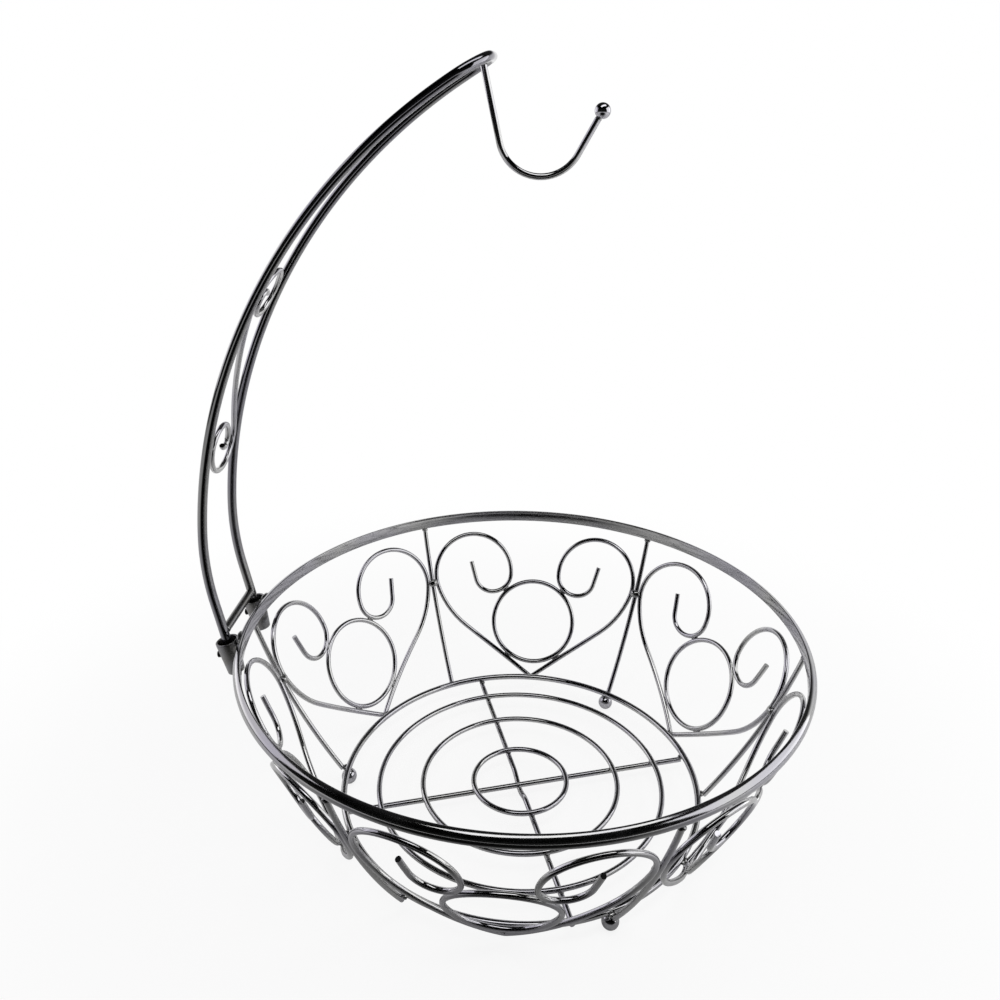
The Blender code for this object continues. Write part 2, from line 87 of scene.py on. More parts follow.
SCREW_KEY_WIDTH = 0.0018
SCREW_KEY_DEPTH = 0.0012
OVERALL_HEIGHT = 0.4064
ROD_DIAMETER = 0.0050
LEG_SPACING = 0.0437
LEG_STRAIGHT = 0.0225
LEG_LOWER_RADIUS = 0.1478
LEG_LOWER_TURN = math.radians(16)
LEG_END_HEADING = math.radians(29.3)
TIP_CORNER_RADIUS = 0.0170
CROSSBAR_RISE = 0.0050
ARM_SCROLL_WIRE = 0.0030
ARM_SCROLL_SHIFT = 0.0020
ARM_SCROLL_INNER_RADIUS = 0.0112
ARM_SCROLL_END_RADIUS = 0.0040
ARM_SCROLL_END_TURN = math.radians(153)
ARM_SCROLL_LOW = 0.1055
ARM_SCROLL_HIGH = 0.1915
HOOK_WIRE = 0.0033
HOOK_ANGLE = math.radians(-77.8)
HOOK_DROP = 0.0379
HOOK_RADIUS = 0.0199
HOOK_TURN = math.radians(139.2)
HOOK_REACH = 0.0231
HOOK_BALL_DIAMETER = 0.0077

# Sizes that differ a little from the solids, to look as the photographed one does
RIM_LEAN = math.radians(5)
WIRE_END_TRIM = 0.0013
SCREW_PROUD = 0.0016
CROSSBAR_DIAMETER = 0.0048

# Eased edges, in metres, but for the wires, where it is a share of the diameter
RIM_EDGE = 0.0004
SCREW_EDGE = 0.0002
LIP_EDGE = SOCKET_WALL / 3
WIRE_END_EDGE = 0.12

# How finely round and bent shapes are made
RIM_SECTION_SIDES = 40
RIM_STEPS = 288
HOOP_SECTION_SIDES = 20
BASE_RING_STEPS = 264
FLOOR_RING_STEPS = 200
DIP_STATIONS = 32
SPOKE_STATIONS = 40
CIRCLE_STATIONS = 96
CROSSBAR_STATIONS = 8
BEND_STATION_ANGLE = math.radians(5)
BALL_SEGMENTS = 48
BALL_RINGS = 32
CUP_SIDES = 96
SCREW_SIDES = 32

# How near counts as the same place, in metres
MERGE_DISTANCE = 0.000005
CUT_TOLERANCE = 0.000001
SAME_PLACE = 0.00001

# Radii of the weld beads along the joint, across it and out of it, in metres
SCROLL_BEAD = (0.0028, 0.0036, 0.0022)
RIM_BEAD = (0.0014, 0.0023, 0.0019)
SPOKE_FOOT_BEAD = (0.0023, 0.0014, 0.0017)
HEART_POINT_BEAD = (0.0030, 0.0016, 0.0018)
CIRCLE_SIDE_BEAD = (0.0030, 0.0008, 0.0011)
CIRCLE_UPPER_BEAD = (0.0026, 0.0008, 0.0011)
CROSSING_BEAD = (0.0016, 0.0016, 0.0009)
CROSS_END_BEAD = (0.0016, 0.0019, 0.0013)
BALL_FOOT_BEAD = (0.0026, 0.0021, 0.0009)
CUP_SEAM_BEAD = (0.0034, 0.0038, 0.0013)
CUP_LIP_BEAD = (0.0056, 0.0021, 0.0020)
CROSSBAR_BEAD = (0.0026, 0.0026, 0.0013)
ARM_SCROLL_BEAD = (0.0034, 0.0013, 0.0008)
HOOK_BEAD = (0.0026, 0.0021, 0.0013)
HOOK_BALL_BEAD = (0.0010, 0.0019, 0.0019)

# How far the beads sit from the middle of their joints, in metres, or as a share of the way
SCROLL_BEAD_DROP = 0.0018
SCROLL_BEAD_SINK = 0.0012
RIM_BEAD_DROP = 0.0004
SPOKE_FOOT_BEAD_RISE = 0.0002
HEART_POINT_BEAD_DROP = 0.0012
WALL_TO_RING_SHARE = 0.45
BALL_FOOT_BEAD_DROP = 0.0001
CUP_SEAM_BEAD_DROP = 0.0004
CUP_SEAM_BEAD_SINK = 0.0002
CUP_LIP_BEAD_SINK = 0.0008
CUP_LIP_BEAD_RISE = 0.0016
HOOK_BEAD_DROP = 0.0008

# Sizes that follow from them
UP = Vector((0, 0, 1))
ACROSS_LEGS = Vector((0, 1, 0))
rod_radius = ROD_DIAMETER / 2
leg_offset = LEG_SPACING / 2
base_radius = BASE_RING_WIRE / 2
base_ring_height = FOOT_DIAMETER - FOOT_FLAT - FOOT_WELD_DEPTH + base_radius
cross_height = base_ring_height - base_radius - GAP - FLOOR_WIRE / 2
floor_ring_height = cross_height + FLOOR_WIRE + GAP
wall_foot_offset = base_radius + GAP + WALL_WIRE / 2
wall_top_radius = RIM_OUTER_RADIUS - WALL_TOP_INSET
wall_rise = RIM_CENTRE_HEIGHT - RIM_HEIGHT / 2 - base_ring_height
wall_run = wall_top_radius - BASE_RING_RADIUS - wall_foot_offset
wall_lean_low = WALL_BULGE + math.atan2(wall_run, wall_rise)
wall_low_radius = BASE_RING_RADIUS + wall_foot_offset / math.cos(wall_lean_low)
wall_low = -wall_foot_offset * math.tan(wall_lean_low)
wall_lean = math.atan2(wall_top_radius - wall_low_radius, wall_rise)
wall_chord = math.hypot(wall_top_radius - wall_low_radius, wall_rise)
wall_arc_radius = wall_chord / 2 / math.sin(wall_lean_low - wall_lean)
wall_length = 2 * wall_arc_radius * (wall_lean_low - wall_lean)
wall_apex = wall_low_radius / math.sin(wall_lean)
wall_top_lean = 2 * wall_lean - wall_lean_low
spoke_top_gap = GAP + WALL_WIRE / 2 * math.sin(wall_top_lean)
spoke_top = wall_length - spoke_top_gap / math.cos(wall_top_lean)
spoke_foot = wall_low + WIRE_END_TRIM
half_panel = PANEL_STEP / 2 * math.sin(wall_lean)
scroll_height = wall_length - SCROLL_DROP
rim_low, rim_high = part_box("rim_ring")
BOWL_AXIS = Vector(((rim_low.x + rim_high.x) / 2, 0, 0))
ARM_BASE_HEIGHT = RIM_CENTRE_HEIGHT - SOCKET_TOP_DROP


def arm_base():
    """Give the point between the tops of the two cups."""
    top_radius = SOCKET_TOP_DIAMETER / 2
    taper = math.atan((SOCKET_TOP_DIAMETER - SOCKET_BOTTOM_DIAMETER) / 2 / SOCKET_LENGTH)
    tilt = SOCKET_LEAN - taper
    support = math.hypot(RIM_THICKNESS * math.cos(tilt), RIM_HEIGHT / 2 * math.sin(tilt))
    rise = top_radius * math.sin(SOCKET_LEAN) - SOCKET_TOP_DROP
    outward = ((support + GAP + rise * math.sin(tilt)) / math.cos(tilt)
               + top_radius * math.cos(SOCKET_LEAN))
    plan = RIM_OUTER_RADIUS - RIM_THICKNESS + outward
    return Vector((BOWL_AXIS.x - math.sqrt(plan ** 2 - leg_offset ** 2), 0, ARM_BASE_HEIGHT))


ARM_BASE = arm_base()


# Drawing of bent wire: a path is a list of (x, y) and a heading

def straight(path, heading, length, stations=1):
    """Carry the path on straight for a length."""
    x, y = path[-1]
    for station in range(1, stations + 1):
        reach = length * station / stations
        path.append((x + reach * math.cos(heading), y + reach * math.sin(heading)))


def bend(path, heading, radius, turn):
    """Carry the path on round an arc, to the left for a positive turn; give the new heading."""
    x, y = path[-1]
    side = math.copysign(1, turn)
    centre_x = x - side * radius * math.sin(heading)
    centre_y = y + side * radius * math.cos(heading)
    stations = max(6, math.ceil(abs(turn) / BEND_STATION_ANGLE))
    for station in range(1, stations + 1):
        angle = heading + turn * station / stations
        path.append((centre_x + side * radius * math.sin(angle),
                     centre_y - side * radius * math.cos(angle)))
    return heading + turn


def wall_point(across, up, azimuth):
    """Lay a point of the flat panel drawing on the bulged wall of the bowl."""
    reach = math.hypot(across, wall_apex + up)
    turn = azimuth + math.atan2(across, wall_apex + up) / math.sin(wall_lean)
    lean = wall_lean_low - (reach - wall_apex) / wall_arc_radius
    radius = wall_low_radius + wall_arc_radius * (math.cos(lean) - math.cos(wall_lean_low))
    height = base_ring_height + wall_arc_radius * (math.sin(wall_lean_low) - math.sin(lean))
    return BOWL_AXIS + Vector((radius * math.cos(turn), radius * math.sin(turn), height))


def wall_normal(across, up, azimuth):
    """Give the way straight out of the wall at a point of the panel drawing."""
    small = 0.001
    here = wall_point(across, up, azimuth)
    aside = wall_point(across + small, up, azimuth) - here
    above = wall_point(across, up + small, azimuth) - here
    normal = aside.cross(above).normalized()
    return normal if normal.dot(here - BOWL_AXIS) > 0 else -normal


def wall_frame(across, up, azimuth, turn=0):
    """Give a point of the wall, the way along a line drawn at an angle there, and the way out."""
    small = 0.0005
    here = wall_point(across, up, azimuth)
    there = wall_point(across + small * math.cos(turn), up + small * math.sin(turn), azimuth)
    return here, there - here, wall_normal(across, up, azimuth)


def base_ring_point(azimuth, height):
    """Give the point above or below the base ring's wire at an azimuth and a height."""
    point = BOWL_AXIS + Vector((math.cos(azimuth), math.sin(azimuth), 0)) * BASE_RING_RADIUS
    point.z = height
    return point


leg_start_heading = math.pi / 2 + SOCKET_LEAN
upper_start = LEG_STRAIGHT + LEG_LOWER_RADIUS * LEG_LOWER_TURN
leg_path = [(0, 0)]
straight(leg_path, leg_start_heading, LEG_STRAIGHT)
upper_heading = bend(leg_path, leg_start_heading, LEG_LOWER_RADIUS, -LEG_LOWER_TURN)
upper_rise = OVERALL_HEIGHT - rod_radius - ARM_BASE_HEIGHT - leg_path[-1][1]
upper_radius = upper_rise / (math.cos(LEG_END_HEADING) - math.cos(upper_heading))
arm_length = upper_start + upper_radius * (upper_heading - LEG_END_HEADING)


def arm_point(along, across):
    """Lay a point of the hanger's flat drawing on its bent surface."""
    x = min(along, LEG_STRAIGHT) * math.cos(leg_start_heading)
    z = min(along, LEG_STRAIGHT) * math.sin(leg_start_heading)
    heading = leg_start_heading
    for start, end, radius in ((LEG_STRAIGHT, upper_start, LEG_LOWER_RADIUS),
                               (upper_start, math.inf, upper_radius)):
        reach = min(along, end) - start
        if reach > 0:
            after = heading - reach / radius
            x += radius * (math.sin(heading) - math.sin(after))
            z += radius * (math.cos(after) - math.cos(heading))
            heading = after
    return ARM_BASE + Vector((x, across, z))


def arm_way(along):
    """Give the way up the hanger at a point of its middle line."""
    return arm_point(along + 0.001, 0) - arm_point(along, 0)


def side_way(heading):
    """Give the way of a heading in the hanger's upright plane."""
    return Vector((math.cos(heading), 0, math.sin(heading)))


# Materials

def linear(code):
    """Turn an sRGB hex colour to the linear one that the shader wants."""
    shares = [int(code[i:i + 2], 16) / 255 for i in (1, 3, 5)]
    return (*(s / 12.92 if s <= 0.04045 else ((s + 0.055) / 1.055) ** 2.4 for s in shares), 1.0)


def add_node(tree, kind, settings=(), inputs=(), links=()):
    """Add a node, with its settings, its inputs' values and the links that run into it."""
    node = tree.nodes.new(kind)
    for name, value in dict(settings).items():
        setattr(node, name, value)
    for name, value in dict(inputs).items():
        node.inputs[name].default_value = value
    for name, source in dict(links).items():
        tree.links.new(source, node.inputs[name])
    return node


def new_material(name):
    """Start a material; give it, its nodes, its shader and the place on the piece in metres."""
    material = bpy.data.materials.new(name)
    material.use_nodes = True
    tree = material.node_tree
    place = add_node(tree, "ShaderNodeTexCoord").outputs["Object"]
    return material, tree, tree.nodes["Principled BSDF"], place


def patches(tree, shader, place, size, colours):
    """Spread two close colours in soft patches of a real size in metres, as plating takes."""
    noise = add_node(tree, "ShaderNodeTexNoise", inputs={"Scale": 1 / size, "Detail": 2.0},
                     links={"Vector": place})
    share = add_node(tree, "ShaderNodeMapRange", inputs={"From Min": 0.4, "From Max": 0.6},
                     links={"Value": noise.outputs["Fac"]})
    blend = add_node(tree, "ShaderNodeMix", settings={"data_type": "RGBA"},
                     links={"Factor": share.outputs["Result"]})
    ends = (socket for socket in blend.inputs if socket.type == "RGBA")
    for socket, colour in zip(ends, colours):
        socket.default_value = linear(colour)
    result = next(socket for socket in blend.outputs if socket.type == "RGBA")
    tree.links.new(result, shader.inputs["Base Color"])


def haze(tree, shader, place, size, low, high):
    """Vary the roughness in soft patches of a real size in metres, as buffing leaves it."""
    noise = add_node(tree, "ShaderNodeTexNoise",
                     inputs={"Scale": 1 / size, "Detail": 3.0, "Roughness": 0.55},
                     links={"Vector": place})
    spread = add_node(tree, "ShaderNodeMapRange",
                      inputs={"From Min": 0.3, "From Max": 0.7, "To Min": low, "To Max": high},
                      links={"Value": noise.outputs["Fac"]})
    tree.links.new(spread.outputs["Result"], shader.inputs["Roughness"])


def relief(tree, shader, place, layers):
    """Lay bumps over each other, each of a grain and a height in metres and a fineness."""
    under = {}
    for grain, height, detail in layers:
        noise = add_node(tree, "ShaderNodeTexNoise",
                         inputs={"Scale": 1 / grain, "Detail": detail, "Roughness": 0.6},
                         links={"Vector": place})
        bump = add_node(tree, "ShaderNodeBump", inputs={"Strength": 1.0, "Distance": height},
                        links={"Height": noise.outputs["Fac"], **under})
        under = {"Normal": bump.outputs["Normal"]}
    tree.links.new(under["Normal"], shader.inputs["Normal"])


def metal(name, colours, patch, gloss, bumps):
    """Make a metal of two close colours, with the patches of its gloss and its bumps."""
    material, tree, shader, place = new_material(name)
    shader.inputs["Metallic"].default_value = 1.0
    patches(tree, shader, place, patch, colours)
    haze(tree, shader, place, *gloss)
    relief(tree, shader, place, bumps)
    return material


# Bright chrome plated on drawn steel wire: a clear dark mirror, faintly wavy where the wire was
# drawn and bent
WIRE_CHROME = metal("polished_chrome_plate", ("#C0C0BF", "#B6B5BA"), patch=0.03,
                    gloss=(0.014, 0.035, 0.085), bumps=((0.012, 0.00006, 1.0),))
# The same mirror on the hanger's thick rod, its colour made a little darker as painted shade, so
# that the legs' reflections come out darker
ROD_CHROME_PAINTED_SHADE = metal("chrome_plated_rod_painted_shade", ("#959594", "#8D8C92"), patch=0.05,
                   gloss=(0.020, 0.045, 0.10), bumps=((0.020, 0.00006, 1.0),))
# Chrome plated on a rolled band: a softer mirror, with the slight unevenness of the rolls and
# their fine marks, which are drawn coarser than they are so that they show
BAND_CHROME = metal("chromed_rolled_band", ("#AEAEAD", "#A7A6AC"), patch=0.04,
                    gloss=(0.020, 0.08, 0.16),
                    bumps=((0.018, 0.00008, 1.0), (0.0012, 0.000002, 2.0)))
# Chrome plated on turned cups that were only blasted: a soft grey sheen, with the blasting's
# fine grain drawn coarser than it is so that it shows
CUP_CHROME = metal("satin_chrome_plate", ("#88888A", "#807F7D"), patch=0.008,
                   gloss=(0.012, 0.24, 0.30), bumps=((0.0007, 0.000008, 3.0),))
# Weld metal under the chrome: lumpy, duller and a little darker than the wire
WELD_CHROME = metal("chrome_plated_weld", ("#ACACAB", "#808081"), patch=0.003,
                    gloss=(0.002, 0.08, 0.24), bumps=((0.0014, 0.00010, 2.0),))
# Black oxide on a steel set screw: a dark, half-dull skin, with the oxide's grain drawn coarser
# than it is so that it shows
SCREW_STEEL = metal("black_oxide_steel", ("#1B1B1C", "#232322"), patch=0.002,
                    gloss=(0.001, 0.36, 0.52), bumps=((0.0004, 0.00001, 2.0),))


# Modelling steps

def start_alone():
    """Leave edit mode and deselect everything."""
    if bpy.context.object and bpy.context.object.mode != "OBJECT":
        bpy.ops.object.mode_set(mode="OBJECT")
    bpy.ops.object.select_all(action="DESELECT")


def choose(piece):
    """Select one piece alone and make it the active one."""
    start_alone()
    piece.select_set(True)
    bpy.context.view_layer.objects.active = piece


def pick(piece, kind, wanted):
    """In edit mode, select the vertices, edges or faces that a test wants."""
    bpy.ops.mesh.select_mode(type=kind)
    bpy.ops.mesh.select_all(action="DESELECT")
    bpy.ops.object.mode_set(mode="OBJECT")
    mesh = piece.data
    parts = {"VERT": mesh.vertices, "EDGE": mesh.edges, "FACE": mesh.polygons}[kind]
    for part in parts:
        part.select = bool(wanted(part))
    bpy.ops.object.mode_set(mode="EDIT")


def bake_place(piece):
    """Put a piece's place into its mesh."""
    choose(piece)
    bpy.ops.object.transform_apply(location=True, rotation=True, scale=True)


def settle(piece, name, body, node, finish, smooth=40):
    """Place and shade a piece, hang it on the empty of the body it rides on, and hide the part
    that it stands for.
    """
    bake_place(piece)
    bpy.ops.object.shade_smooth_by_angle(angle=math.radians(smooth))
    piece.name = name
    piece.data.name = name
    piece.data.materials.clear()
    piece.data.materials.append(finish)
    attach(piece, body)
    if node:
        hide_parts(node)


def moved_copy(piece, matrix):
    """Copy a piece with its own mesh, moved by a matrix."""
    copy = piece.copy()
    copy.data = piece.data.copy()
    copy.data.transform(matrix)
    bpy.context.scene.collection.objects.link(copy)
    return copy


def about_bowl(angle):
    """Give the turn about the bowl's axis."""
    turn = Matrix.Rotation(angle, 4, "Z")
    return Matrix.Translation(BOWL_AXIS) @ turn @ Matrix.Translation(-BOWL_AXIS)


def set_round(firsts, count):
    """Set copies of the first pieces round the bowl, and take the first ones away."""
    for index in range(count):
        turn = about_bowl(-index * math.tau / count)
        number = index + 1
        for first, name, node in firsts:
            settle(moved_copy(first, turn), f"{name}_{number}", "bowl", f"{node}_{number}",
                   WIRE_CHROME)
    for first, _, _ in firsts:
        bpy.data.objects.remove(first)


def bent_wire(points, diameter, closed=False, sides=5):
    """Bend a round wire through the points, and ease the sheared edges of its ends."""
    start_alone()
    curve = bpy.data.curves.new("wire", "CURVE")
    curve.dimensions = "3D"
    curve.bevel_depth = diameter / 2
    curve.bevel_resolution = sides
    curve.use_fill_caps = True
    spline = curve.splines.new("POLY")
    spline.points.add(len(points) - 1)
    for station, point in zip(spline.points, points):
        station.co = (*point, 1.0)
    spline.use_cyclic_u = closed
    piece = bpy.data.objects.new("wire", curve)
    bpy.context.scene.collection.objects.link(piece)
    choose(piece)
    bpy.ops.object.convert(target="MESH")
    piece = bpy.context.object
    bpy.ops.object.mode_set(mode="EDIT")
    bpy.ops.mesh.select_all(action="SELECT")
    bpy.ops.mesh.remove_doubles(threshold=MERGE_DISTANCE)
    bpy.ops.mesh.normals_make_consistent(inside=False)
    if not closed:
        pick(piece, "FACE", lambda face: len(face.vertices) > 4)
        bpy.ops.mesh.bevel(offset=diameter * WIRE_END_EDGE, segments=3, affect="EDGES")
    bpy.ops.object.mode_set(mode="OBJECT")
    return piece


def spin_round(piece, steps):
    """Spin a piece's section once round the bowl's axis and close it."""
    bake_place(piece)
    bpy.ops.object.mode_set(mode="EDIT")
    bpy.ops.mesh.select_all(action="SELECT")
    bpy.ops.mesh.spin(steps=steps, angle=math.tau, center=BOWL_AXIS, axis=UP)
    bpy.ops.mesh.select_all(action="SELECT")
    bpy.ops.mesh.remove_doubles(threshold=MERGE_DISTANCE)
    bpy.ops.mesh.normals_make_consistent(inside=False)
    bpy.ops.object.mode_set(mode="OBJECT")


def ball(diameter, centre):
    """Make a round ball."""
    start_alone()
    bpy.ops.mesh.primitive_uv_sphere_add(
        segments=BALL_SEGMENTS, ring_count=BALL_RINGS, radius=diameter / 2, location=centre)
    return bpy.context.object


def cut_away(piece, tool, name):
    """Cut the tool's shape out of a piece, and take the tool away."""
    choose(piece)
    cut = piece.modifiers.new(name, "BOOLEAN")
    cut.operation = "DIFFERENCE"
    cut.object = tool
    bpy.ops.object.modifier_apply(modifier=cut.name)
    bpy.data.objects.remove(tool)


# Bowl

def make_rim():
    """Make the rolled band: a half ellipse outside, a leaning flat inside, and eased edges."""
    start_alone()
    middle = BOWL_AXIS + Vector((RIM_OUTER_RADIUS - RIM_THICKNESS, 0, RIM_CENTRE_HEIGHT))
    bpy.ops.mesh.primitive_circle_add(vertices=RIM_SECTION_SIDES, radius=1, fill_type="NGON",
                                      location=middle, rotation=(math.pi / 2, 0, 0))
    band = bpy.context.object
    band.scale = (RIM_THICKNESS, RIM_HEIGHT / 2, 1)
    bake_place(band)
    bpy.ops.object.mode_set(mode="EDIT")
    bpy.ops.mesh.select_all(action="SELECT")
    bpy.ops.mesh.bisect(plane_co=middle, plane_no=(1, 0, 0), clear_inner=True,
                        threshold=CUT_TOLERANCE)

    def on_flat(vertex):
        return abs(vertex.co.x - middle.x) < SAME_PLACE

    pick(band, "VERT", on_flat)
    bpy.ops.mesh.edge_face_add()
    pick(band, "VERT", on_flat)
    bpy.ops.mesh.bevel(offset=RIM_EDGE, segments=3, affect="VERTICES")
    bpy.ops.mesh.select_all(action="SELECT")
    bpy.ops.transform.rotate(value=-RIM_LEAN, orient_axis="Y", orient_type="GLOBAL",
                             center_override=middle)
    pick(band, "FACE", lambda face: True)
    bpy.ops.mesh.delete(type="ONLY_FACE")
    bpy.ops.object.mode_set(mode="OBJECT")
    spin_round(band, RIM_STEPS)
    settle(band, "rim_band", "bowl", "rim_ring", BAND_CHROME, smooth=50)


def make_hoop(name, node, radius, wire, height, steps):
    """Roll a ring of round wire: the wire's section spun round the bowl's axis."""
    start_alone()
    bpy.ops.mesh.primitive_circle_add(
        vertices=HOOP_SECTION_SIDES, radius=wire / 2, rotation=(math.pi / 2, 0, 0),
        location=BOWL_AXIS + Vector((radius, 0, height)))
    hoop = bpy.context.object
    spin_round(hoop, steps)
    settle(hoop, name, "bowl", node, WIRE_CHROME)


def make_hoops():
    """Make the base ring and the three floor rings."""
    make_hoop("base_hoop", "base_ring", BASE_RING_RADIUS, BASE_RING_WIRE, base_ring_height,
              BASE_RING_STEPS)
    for place, share in FLOOR_RINGS.items():
        make_hoop(f"floor_hoop_{place}", f"floor_ring_{place}", share * BASE_RING_RADIUS,
                  FLOOR_WIRE, floor_ring_height, FLOOR_RING_STEPS)


def make_floor_cross():
    """Make the two crossed wires under the rings, one of them bent down under the other."""
    dip = FLOOR_WIRE + GAP
    end = BASE_RING_RADIUS - WIRE_END_TRIM
    low = [(-end, 0)]
    for step in range(DIP_STATIONS + 1):
        place = 2 * step / DIP_STATIONS - 1
        low.append((place * DIP_HALF_LENGTH, -dip * math.cos(place * math.pi / 2) ** 2))
    low.append((end, 0))
    level = [(-end, 0), (0, 0), (end, 0)]
    for letter, azimuth, route in (("a", CROSS_AZIMUTH + math.pi / 2, low),
                                   ("b", CROSS_AZIMUTH, level)):
        points = []
        for along, rise in route:
            x, y = along * math.cos(azimuth), along * math.sin(azimuth)
            points.append(BOWL_AXIS + Vector((x, y, cross_height + rise)))
        settle(bent_wire(points, FLOOR_WIRE), f"floor_cross_{letter}", "bowl",
               f"floor_cross_wire_{letter}", WIRE_CHROME)


def make_spokes():
    """Bend one wall wire and set its copies round the bowl."""
    points = []
    for step in range(SPOKE_STATIONS + 1):
        up = spoke_foot + (spoke_top - spoke_foot) * step / SPOKE_STATIONS
        points.append(wall_point(0, up, math.pi))
    set_round(((bent_wire(points, WALL_WIRE), "wall_spoke", "spoke"),), PANELS)


scroll_reach = (scroll_height + wall_apex) * math.sin(half_panel)
scroll_across = (scroll_reach - SCROLL_RADIUS - WALL_WIRE - GAP) / math.cos(half_panel)
second_bend_across = scroll_across - SCROLL_RADIUS + SECOND_BEND_RADIUS
heart_rise = scroll_height + HEART_POINT_DEPTH
heart_reach = math.hypot(scroll_across, heart_rise)
bend_step = SHOULDER_RADIUS - SCROLL_RADIUS
shoulder_offset = SHOULDER_RADIUS - bend_step * math.cos(SHOULDER_TURN)
side_angle = math.atan2(heart_rise, scroll_across) - math.asin(shoulder_offset / heart_reach)
side_length = (math.sqrt(heart_reach ** 2 - shoulder_offset ** 2)
               - bend_step * math.sin(SHOULDER_TURN))


def circle_place():
    """Give the circle's centre height and radius: it touches the sides and second bends."""
    slope = math.tan(side_angle) ** 2
    half = heart_rise / math.cos(side_angle) + SECOND_BEND_RADIUS
    rest = second_bend_across ** 2 + heart_rise ** 2 - SECOND_BEND_RADIUS ** 2
    reach = (half - math.sqrt(half ** 2 - slope * rest)) / slope
    return reach / math.cos(side_angle) - HEART_POINT_DEPTH, reach - WALL_WIRE - GAP


circle_height, circle_radius = circle_place()


def heart_drawing():
    """Draw the heart flat, symmetric about the panel's middle."""
    point_rise = HEART_POINT_BEND / math.cos(side_angle) - HEART_POINT_BEND
    half = [(0, point_rise - HEART_POINT_DEPTH)]
    heading = bend(half, 0, HEART_POINT_BEND, side_angle)
    straight(half, heading, side_length - HEART_POINT_BEND * math.tan(side_angle), stations=24)
    heading = bend(half, heading, SHOULDER_RADIUS, SHOULDER_TURN)
    heading = bend(half, heading, SCROLL_RADIUS, 3 * math.pi / 2 - heading)
    heading = bend(half, heading, SECOND_BEND_RADIUS, math.pi / 2)
    heading = bend(half, heading, CURL_RADIUS, CURL_TURN)
    straight(half, heading, CURL_END_LENGTH, stations=6)
    return [(-x, y) for x, y in reversed(half)] + half[1:]


def circle_drawing():
    """Draw the circle flat."""
    ring = []
    for step in range(CIRCLE_STATIONS):
        angle = math.tau * step / CIRCLE_STATIONS
        ring.append((circle_radius * math.cos(angle),
                     circle_height + circle_radius * math.sin(angle)))
    return ring


def make_panels():
    """Bend one heart and one circle and set their copies round the bowl."""
    azimuth = math.pi - PANEL_STEP / 2
    heart, circle = (
        bent_wire([wall_point(x, y, azimuth) for x, y in drawing], WALL_WIRE, closed=closed)
        for drawing, closed in ((heart_drawing(), False), (circle_drawing(), True)))
    set_round(((heart, "heart_scroll", "heart_wire"), (circle, "heart_circle", "circle_wire")),
              PANELS)


def make_feet():
    """Make one ball foot, flat on the ground, and set its copies under the base ring."""
    foot = ball(FOOT_DIAMETER,
                BOWL_AXIS + Vector((-BASE_RING_RADIUS, 0, FOOT_DIAMETER / 2 - FOOT_FLAT)))
    bake_place(foot)
    bpy.ops.object.mode_set(mode="EDIT")
    for height, side in ((0, "clear_inner"), (base_ring_height - base_radius, "clear_outer")):
        bpy.ops.mesh.select_all(action="SELECT")
        bpy.ops.mesh.bisect(plane_co=(0, 0, height), plane_no=UP, use_fill=True,
                            threshold=CUT_TOLERANCE, **{side: True})
    bpy.ops.object.mode_set(mode="OBJECT")
    set_round(((foot, "foot_ball", "ball_foot"),), FEET)


# Sockets

DRILL_LENGTH = 0.01


def make_pin(sides, radius, near, far):
    """Make a pin at the screw's height, lying between two distances from the cup's axis."""
    start_alone()
    bpy.ops.mesh.primitive_cylinder_add(
        vertices=sides, radius=radius, depth=far - near, rotation=(0, -math.pi / 2, 0),
        location=(-(near + far) / 2, 0, -SCREW_DEPTH_BELOW_TOP))
    return bpy.context.object


def make_cup():
    """Turn one cup, upright below the origin: a cone with a tapered bore and a screw hole."""
    start_alone()
    top, bottom = SOCKET_TOP_DIAMETER / 2, SOCKET_BOTTOM_DIAMETER / 2
    bpy.ops.mesh.primitive_cone_add(vertices=CUP_SIDES, radius1=bottom, radius2=top,
                                    depth=SOCKET_LENGTH, location=(0, 0, -SOCKET_LENGTH / 2))
    cup = bpy.context.object
    bake_place(cup)
    bpy.ops.object.mode_set(mode="EDIT")
    pick(cup, "FACE", lambda face: face.normal.z > 0.9)
    bpy.ops.mesh.inset(thickness=SOCKET_WALL, depth=0)
    bore = SOCKET_LENGTH - SOCKET_FLOOR
    bpy.ops.mesh.extrude_region_move(TRANSFORM_OT_translate={"value": (0, 0, -bore)})
    slope = (top - bottom) / SOCKET_LENGTH
    narrow = (bottom + slope * SOCKET_FLOOR - SOCKET_WALL) / (top - SOCKET_WALL)
    bpy.ops.transform.resize(value=(narrow, narrow, 1))

    def round_an_end(edge):
        one, other = (cup.data.vertices[index].co for index in edge.vertices)
        level = abs(one.z - other.z) < SAME_PLACE
        on_ring = abs(one.xy.length - other.xy.length) < SAME_PLACE
        at_end = one.z > -SAME_PLACE or one.z < SAME_PLACE - SOCKET_LENGTH
        return level and on_ring and at_end

    pick(cup, "EDGE", round_an_end)
    bpy.ops.mesh.bevel(offset=LIP_EDGE, segments=4, affect="EDGES")
    bpy.ops.object.mode_set(mode="OBJECT")
    bpy.ops.mesh.primitive_cylinder_add(
        vertices=SCREW_SIDES, radius=SCREW_DIAMETER / 2 + GAP, depth=DRILL_LENGTH,
        rotation=(0, math.pi / 2, 0), location=(-DRILL_LENGTH / 2, 0, -SCREW_DEPTH_BELOW_TOP))
    cut_away(cup, bpy.context.object, "screw_hole")
    return cup, top - slope * SCREW_DEPTH_BELOW_TOP


